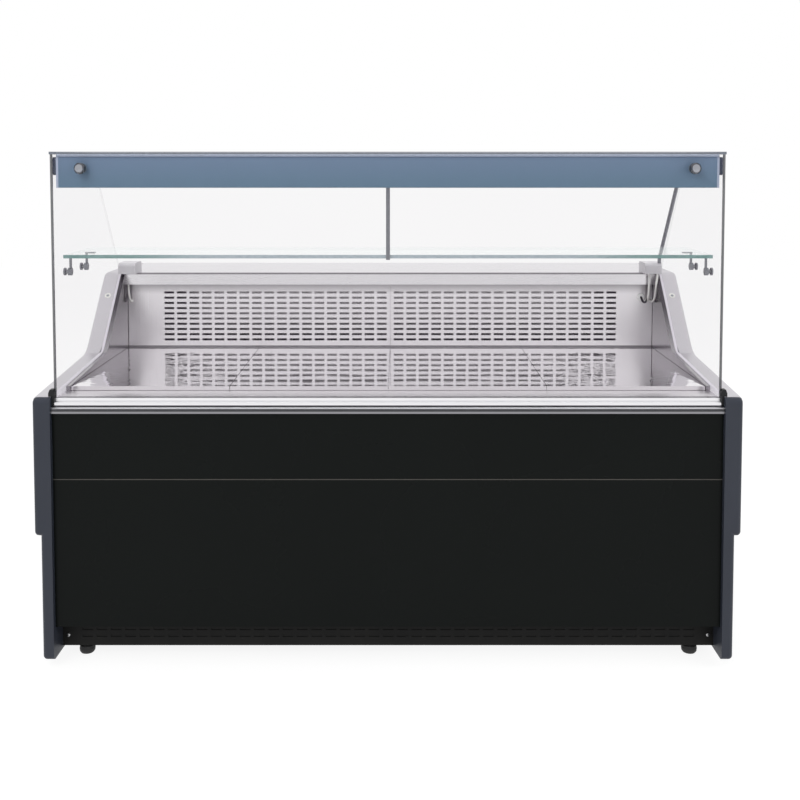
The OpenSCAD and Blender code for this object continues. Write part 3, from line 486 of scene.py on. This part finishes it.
bump(w, bloom, 0.08, 0.0003)
section = [(rail_y + d, rail_z + rail_h * share) for d, share in (
    (0.0095, 0.40), (0.0015, 0.40), (0.0008, 0.45), (0.0004, 0.575), (0.0008, 0.70), (0.0015, 0.75),
    (0.0095, 0.75))]
strip_x = 0.7492
piece("rail_strip", *drawn(section, -strip_x, strip_x), rubber, "black_plastic")

# Black moulded bushes let into the ends, in which the pins of the front glass turn.
# The channel's end caps are moulded in the same black plastic, and so is the control box on the server's
# side. All have a fine grain.
moulded_black, w = finish("moulded_black", Specular_IOR_Level=0.3)
fine = w.node("TexVoronoi", Vector=w.place, Scale=1500.0)
drift = noise(w, 30.0, 4.0)
mottle(w, drift, (18, 19, 21), (28, 29, 31), 0.42, 0.14)
bump(w, fine, 0.12, 0.0002)
dress(moulded_black, "pivot_bushes", "channel_caps", "control_box")

# Deck trays, stainless polished to a mirror: four lift-out plates with folded edges.
# Polished sheet is never quite flat, so its reflections wander, and it has fine hairline scratches.
# Towards the ends of the deck the sheet is strained: it buckles a little and its polish is duller.
mirror, w = finish("polished_steel", Metallic=1.0)
dent = noise(w, 5.5, 1.5, Distortion=0.3)
buckle = noise(w, 13.0, 2.0, Distortion=1.6)
hair = streaks(w, (30, 700, 30), Detail=4.0)
strain = rise(w, abs(coordinate(w, "X")), start=0.36, end=0.66)
w.feed(w.shader, Base_Color=dent.mix(srgb(240, 237, 240), srgb(251, 249, 251)),
       Roughness=0.015 + hair * 0.03 + strain * 0.025)
bump(w, dent * 0.6 + buckle * strain * 1.5 + hair * 0.01, 0.12, 0.006)
dress(mirror, "deck_tray_1", "deck_tray_2", "deck_tray_3", "deck_tray_4")

# Air baffle, a plain steel strip behind the foot of the back panels that closes the joint at the rear of the
# deck. It is spot-welded to the panels; its dull grey is a painted shade that stands for the shadow in the
# joint.
joint_shade_steel, w = brushed_steel("painted_joint_shade_strip", grain_x, (152, 150, 153), (180, 177, 181), 0.42)
back_low, back_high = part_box("back_panels")
near_y, far_y = back_high[1] + 0.0001, back_high[1] + 0.0011
foot_z, head_z = back_low[2] - 0.009, back_low[2] + 0.006
section = [(near_y, foot_z), (far_y, foot_z), (far_y, head_z), (near_y, head_z)]
piece("air_baffle", *drawn(section, back_low[0], back_high[0]), joint_shade_steel, "stainless")

# Blocks that stand on the worktop and clamp the rear corners of the side glasses, moulded in grey plastic.
# They are screwed down from below, so no head shows.
grey_plastic, w = finish("grey_plastic")
cloud = noise(w, 45.0, 3.0)
mottle(w, cloud, (176, 174, 178), (198, 196, 200), 0.34, 0.14)
bump(w, noise(w, 800.0, 2.0), 0.08, 0.0003)
dress(grey_plastic, "glass_blocks")

# Lamp leads, limp white cable that hangs from the blocks and the nose and goes in through the back panels.
# The one to the grommet, a ring of glossy white nylon, is dark over its lower end, a painted shade for the
# grommet's dark hole.
# Each of the others ends in a small white bush pressed into the panel.
lead_r, hole_shade_x = 0.003, 0.7105
sheath, w = finish("lead_sheath")
scuff = noise(w, 150.0, 4.0)
# Painted shade: the lead is dark where it nears the grommet, standing for the shade in the grommet's hole.
painted_hole_shade = abs(coordinate(w, "X")) < hole_shade_x
w.feed(w.shader, Base_Color=painted_hole_shade.mix(scuff.mix(srgb(226, 225, 222), srgb(240, 239, 236)), srgb(40, 40, 43)),
       Roughness=0.34 + scuff * 0.16)
bump(w, scuff, 0.05, 0.0003)


def lead(name, route, sides=12, steps=5):
    """A round lead along a smooth curve through the route, a cord that goes back into the case."""
    route = [Vector(p) for p in route]
    line = []
    for i in range(len(route) - 1):
        a, b = route[max(i - 1, 0)], route[i]
        c, d = route[i + 1], route[min(i + 2, len(route) - 1)]
        for t in (k / steps for k in range(steps)):
            line.append(0.5 * (2 * b + (c - a) * t + (2 * a - 5 * b + 4 * c - d) * t ** 2
                               + (3 * b - a - 3 * c + d) * t ** 3))
    line.append(route[-1])
    angles = [2 * math.pi * k / sides for k in range(sides)]
    rings = []
    for i, p in enumerate(line):
        ahead = (line[min(i + 1, len(line) - 1)] - line[max(i - 1, 0)]).normalized()
        out = ahead.cross(Vector((1, 0, 0))).normalized()
        side = ahead.cross(out)
        rings.append([p + (out * math.cos(a) + side * math.sin(a)) * lead_r for a in angles])
    made = piece(name, *strip(rings), sheath, "white_plastic", smooth=True)
    length = sum((b - a).length for a, b in zip(line, line[1:]))
    return made


lamp_lead = lead("lamp_lead", [
    (0.715, 0.140, 0.832), (0.715, 0.140, 0.820), (0.715, 0.140, 0.800), (0.7145, 0.1405, 0.780),
    (0.713, 0.1425, 0.765), (0.710, 0.147, 0.754), (0.7065, 0.153, 0.7495), (0.7035, 0.160, 0.7505),
    (0.702, 0.1665, 0.755), (0.701, 0.1725, 0.760), (0.701, 0.178, 0.761)])
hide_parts("lamp_cable")
ring_white, w = finish("grommet_white", Specular_IOR_Level=0.6)
sheen = noise(w, 180.0, 3.0)
mottle(w, sheen, (246, 246, 244), (253, 253, 252), 0.16, 0.1)
bump(w, sheen, 0.04, 0.0003)
dress(ring_white, "cable_grommet")
panel_face = back_low[1]
bush_profile = ((0.0, 0.0002), (0.0052, 0.0002), (0.0052, 0.0018), (0.0044, 0.0028), (0.0, 0.003))


def lead_with_bush(name, route):
    """A lead whose far end goes into the back panel through a white bush."""
    lead(name, route)
    piece(name + "_bush", *turned(bush_profile, route[-1], to_customer), white_plastic, "white_plastic",
          smooth=True)


for side, name, x in ((-1, "left_lead_end", 0.7275), (1, "right_lead_end", 0.719)):
    lead_with_bush(name, [(side * (x - dx), y, z) for dx, y, z in (
        (0.0, 0.160, 0.8005), (0.0, 0.160, 0.792), (0.0002, 0.1603, 0.780), (0.001, 0.1615, 0.769),
        (0.002, 0.1645, 0.759), (0.003, 0.170, 0.7525), (0.0035, panel_face, 0.751))])
lead_with_bush("right_long_lead", [
    (0.7335, 0.122, 0.8322), (0.7328, 0.122, 0.822), (0.7308, 0.1225, 0.806), (0.7297, 0.1245, 0.790),
    (0.7293, 0.1285, 0.775), (0.729, 0.136, 0.762), (0.728, 0.147, 0.754), (0.7272, 0.160, 0.751),
    (0.7265, 0.170, 0.7515), (0.7262, panel_face, 0.752)])

# Glass, toughened float: the side, top, front and shelf panes, with ground edges that show grey.
# Face on it only dims what is behind it a little; at a glancing angle it mirrors the room.
# The foot of each side pane, below the capping, is opaque grey and glows, a painted light, and the shelf's
# front edge is greener near its ends.


def float_glass(name, axis, veil, clear, edge_dark, edge_light, edge_alpha=0.8):
    """Panes whose faces look along one axis. The ground edges are the faces that do not."""
    material, wire = finish(name, Specular_IOR_Level=0.3)
    facing = wire.node("SeparateXYZ", out=axis, Vector=wire.node("TexCoord", out="Normal"))
    wire.edge = 1 - (abs(facing) > 0.6)
    frost = noise(wire, 90.0, 3.0)
    smear = noise(wire, 2.5, 5.0, Distortion=0.5)
    wire.rim = frost.mix(srgb(*edge_dark), srgb(*edge_light))
    wire.alpha = wire.edge * edge_alpha + (1 - wire.edge) * (clear + smear * 0.4 * clear)
    wire.feed(wire.shader, Base_Color=wire.edge.mix(veil, wire.rim), Roughness=0.03 + wire.edge * 0.25,
              Alpha=wire.alpha)
    return material, wire


def front_edge(wire, node):
    """One on the edge of a pane that looks at the customer."""
    skin = 0.0006
    return coordinate(wire, "Y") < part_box(node)[0][1] + skin


side_veil = srgb(206, 202, 210)
side_pane, w = float_glass("side_glass", "X", side_veil, 0.025, (206, 210, 212), (228, 231, 232), 0.16)
ahead = front_edge(w, "side_glasses")
# Painted light: below the capping's line each side pane is opaque grey and glows, standing for the lit inner
# face seen through it.
glow_foot_lift = 0.002
level_rise = (knee[1] - front_corner[1]) / (knee[0] - front_corner[0])
level = front_corner[1] + glow_foot_lift + (coordinate(w, "Y") - front_corner[0]) * level_rise
slope = shoulder[1] + glow_foot_lift + (coordinate(w, "Y") - shoulder[0]) * (slope_run.y / slope_run.x)
painted_glow_foot = coordinate(w, "Z") < w.math("MAXIMUM", level, slope)
clear_colour = (w.edge * ahead).mix(w.edge.mix(side_veil, w.rim), srgb(64, 66, 71))
w.feed(w.shader, Base_Color=painted_glow_foot.mix(clear_colour, srgb(186, 184, 188)),
       Alpha=w.math("MINIMUM", w.alpha + painted_glow_foot + ahead * 0.7, 1.0), Emission_Strength=1.0,
       Emission_Color=painted_glow_foot.mix((0, 0, 0, 1), srgb(150, 148, 152)))
dress(side_pane, "side_glasses")
front_pane, w = float_glass("front_pane_glass", "Y", srgb(92, 66, 96), 0.035, (52, 56, 60), (84, 88, 92))
dress(front_pane, "front_glass")
top_pane, w = float_glass("top_pane_glass", "Z", srgb(196, 198, 208), 0.05, (84, 90, 100), (112, 118, 130))
dress(top_pane, "top_glass")
shelf_veil = srgb(226, 242, 239)
shelf_pane, w = float_glass("shelf_pane_glass", "Z", shelf_veil, 0.12, (142, 158, 165), (178, 188, 195), 0.12)
ahead = front_edge(w, "shelf_glass")
greener = rise(w, abs(coordinate(w, "X")), start=0.42, end=0.58)
w.feed(w.shader, Base_Color=ahead.mix(shelf_veil, greener.mix(w.rim, srgb(108, 144, 140))),
       Alpha=w.math("MINIMUM", w.alpha + ahead * 0.8, 1.0))
dress(shelf_pane, "shelf_glass")

# Shelf fittings: satin stand-offs bolted through the side glasses and a flat hanger from the canopy.
# The lamp's lead runs down to the worktop in a conduit of the same steel.
satin, w = finish("satin_steel", Metallic=1.0)
blast = noise(w, 140.0, 4.0)
mottle(w, blast, (124, 126, 130), (148, 150, 155), 0.32, 0.16)
bump(w, blast, 0.05, 0.0003)
dress(satin, "shelf_hanger", "shelf_brackets", "lamp_conduit")

# Lamp canopy, a painted blue-grey aluminium box behind the head of the front glass, with dark end blocks.
# Its top and end edges are paler, a painted highlight, and the box grows lighter towards its top, a painted
# reflection.
# A white diffuser fills the slot underneath.
slate_blue, w = finish("slate_blue_paint", Specular_IOR_Level=0.4)
rim_w = 0.005
canopy_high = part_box("lamp_canopy")[1]
peel = noise(w, 380.0, 2.0)
# Painted light: the box lightens towards its top and its top and end edges are paler, a painted reflection and
# a painted highlight.
painted_top_light = rise(w, coordinate(w, "Z"), start=1.08, end=1.154)
painted_end_highlight = abs(coordinate(w, "X")) > canopy_high[0] - rim_w
rim = w.math("MAXIMUM", painted_end_highlight, coordinate(w, "Z") > canopy_high[2] - rim_w)
w.feed(w.shader, Base_Color=rim.mix(painted_top_light.mix(srgb(90, 118, 138), srgb(107, 128, 154)), srgb(168, 178, 198)),
       Roughness=0.34 + peel * 0.14)
bump(w, peel, 0.06, 0.0004)
dress(slate_blue, "lamp_canopy")
slate, w = finish("slate_moulding")
fine = noise(w, 700.0, 3.0)
mottle(w, fine, (50, 60, 74), (66, 76, 92), 0.45, 0.15)
bump(w, fine, 0.1, 0.0003)
dress(slate, "canopy_blocks")
diffuser, w = finish("lamp_diffuser", Emission_Strength=3.0)
dots = noise(w, 300.0, 2.0)
w.feed(w.shader, Base_Color=dots.mix(srgb(232, 231, 226), srgb(242, 241, 238)),
       Emission_Color=dots.mix(srgb(250, 248, 242), srgb(255, 254, 250)), Roughness=0.4 + dots * 0.1)
dress(diffuser, "led_bar")

# Knobs in the front glass: smoked chrome caps that turn in clear nylon bushes.
# Each has a milled rim of fine ribs and a bright chromed crown pressed on its face.
# Painted shade: the clear nylon bushes are coloured grey, for the shadow under the knobs that shows through
# them.
shaded_clear_bush, w = finish("clear_nylon_painted_shade")
cloud = noise(w, 200.0, 3.0)
mottle(w, cloud, (96, 103, 110), (120, 127, 133), 0.3, 0.1)
bump(w, cloud, 0.04, 0.0003)
dress(shaded_clear_bush, "knob_bushes")
smoke, w = finish("smoked_chrome", Metallic=1.0)
pit = noise(w, 600.0, 3.0)
mottle(w, pit, (84, 85, 90), (106, 107, 112), 0.1, 0.08)
bump(w, pit, 0.03, 0.0002)
dress(smoke, "left_knob", "right_knob")
chrome, w = finish("chromed_crown", Metallic=1.0)
pit = noise(w, 400.0, 3.0)
mottle(w, pit, (146, 148, 154), (170, 172, 178), 0.06, 0.06)
bump(w, pit, 0.03, 0.0002)
ribs, rib_h = 36, 0.0007
rib_rows = ((0.0052, -0.0004), (0.006, 0.0), (0.0112, 0.0), (0.012, -0.0004))
crown_r, crown_h, crown_set = 0.0096, 0.0068, 0.0018
angles = [math.radians(a) for a in range(0, 90, 10)]
dome = [(0.0, 0.0)] + [(crown_r * math.cos(a), crown_h * math.sin(a)) for a in angles] + [(0.0, crown_h)]
for body in ("left_knob", "right_knob"):
    low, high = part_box(body)
    x, z, front, r = (low[0] + high[0]) / 2, (low[2] + high[2]) / 2, low[1], (high[0] - low[0]) / 2
    rim_points, rim_faces = [], []
    for k in range(ribs):
        a = 2 * math.pi * k / ribs
        out, across = Vector((math.cos(a), 0, math.sin(a))), Vector((-math.sin(a), 0, math.cos(a)))
        rows = [[Vector((x, front + d, z)) + out * (r - rib_h + h) + across * s
                 for s, h in ((-rib_h, 0.0), (0.0, rib_h + lift), (rib_h, 0.0))] for d, lift in rib_rows]
        points, faces = strip(rows)
        rim_faces += [[len(rim_points) + i for i in f] for f in faces]
        rim_points += points
    piece(body + "_ribs", rim_points, rim_faces, smoke, "chrome_fittings", body)
    seat = (x, front + crown_set, z)
    piece(body + "_crown", *turned(dome, seat, to_customer), chrome, "chrome_fittings", body, smooth=True)

# Server's side: a control panel let into the rear panel, with two moulded grey keys and a lit green rocker.
# A smoked display window with softened edges is glued on its face.
key_grey, w = finish("key_grey")
fine = noise(w, 900.0, 2.0)
mottle(w, fine, (172, 174, 178), (188, 190, 194), 0.4, 0.12)
bump(w, fine, 0.08, 0.0002)
dress(key_grey, "up_key", "down_key")
green, w = finish("green_rocker", Emission_Strength=0.25)
glowing = noise(w, 120.0, 2.0)
w.feed(w.shader, Base_Color=glowing.mix(srgb(24, 120, 52), srgb(36, 150, 66)),
       Emission_Color=glowing.mix(srgb(20, 130, 50), srgb(40, 170, 70)), Roughness=0.22 + glowing * 0.08)
bump(w, glowing, 0.04, 0.0002)
dress(green, "lamp_rocker")
smoked, w = finish("smoked_window", Specular_IOR_Level=0.5)
deep = noise(w, 25.0, 3.0)
mottle(w, deep, (30, 8, 8), (46, 12, 12), 0.05, 0.05)
box_low, box_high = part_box("control_box")
pane_x0, pane_x1 = box_low[0] + 0.012, box_low[0] + 0.072
pane_z0, pane_z1 = box_low[2] + 0.016, box_high[2] - 0.016
pane = [(pane_x0, pane_z0), (pane_x1, pane_z0), (pane_x1, pane_z1), (pane_x0, pane_z1)]
rows = [[(x, box_high[1] + d, z) for x, z in pane] for d in (0.0001, 0.0013)]
piece("display_window", *strip(rows), smoked, "black_plastic", bevel=0.0008)

size = {"cad": [list(map(float, c)) for c in cad_box], "visual": [list(map(float, c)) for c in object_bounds()]}
